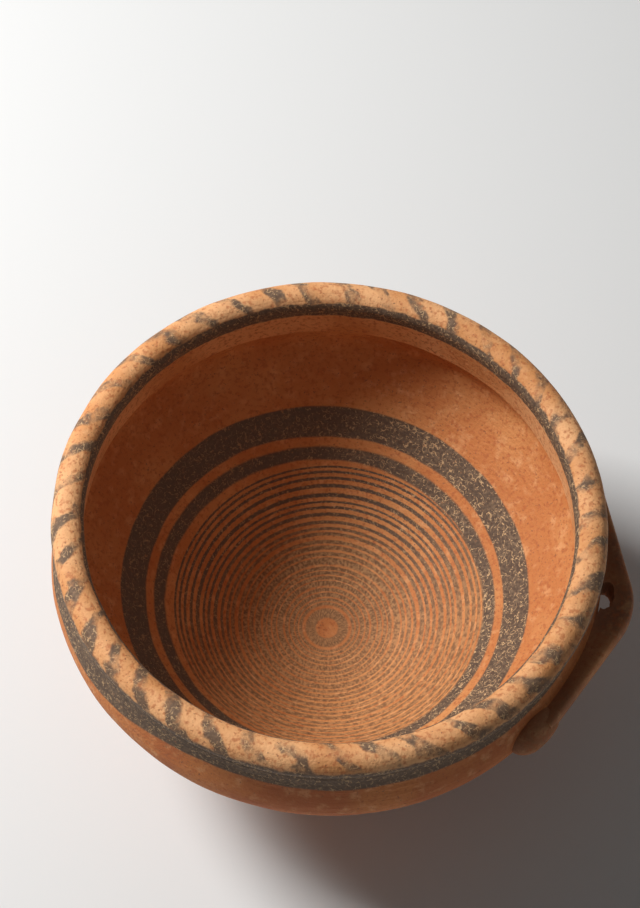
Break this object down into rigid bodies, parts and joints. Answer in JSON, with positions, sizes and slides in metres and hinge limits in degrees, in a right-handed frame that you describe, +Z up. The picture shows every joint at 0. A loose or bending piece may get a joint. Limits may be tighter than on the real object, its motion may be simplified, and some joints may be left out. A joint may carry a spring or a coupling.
{
  "type": "one-handled bowl",
  "caption": "Deep thrown clay bowl with a thick rolled rim, a low disc foot and one pierced strap handle, painted with dark bands.",
  "frame": {"origin": "on the bowl's axis, at the flat underside of the foot", "axes": "+Z up along the bowl's axis, out of the mouth; +X out through the handle"},
  "size_m": [0.2366, 0.2236, 0.1215],
  "materials": {
    "painted_clay": "matt orange clay with worn dark slip bands",
    "painted_rim_clay": "matt pale orange clay with slanting dark slip strokes",
    "bare_clay": "matt bare orange clay",
    "dark_clay": "matt browned clay"
  },
  "bodies": {
    "root": {"bowl_body": "painted_clay", "rim_collar": "painted_rim_clay", "foot": "bare_clay", "handle": "dark_clay", "handle_root_left": "dark_clay", "handle_root_right": "dark_clay"}
  },
  "joints": []
}
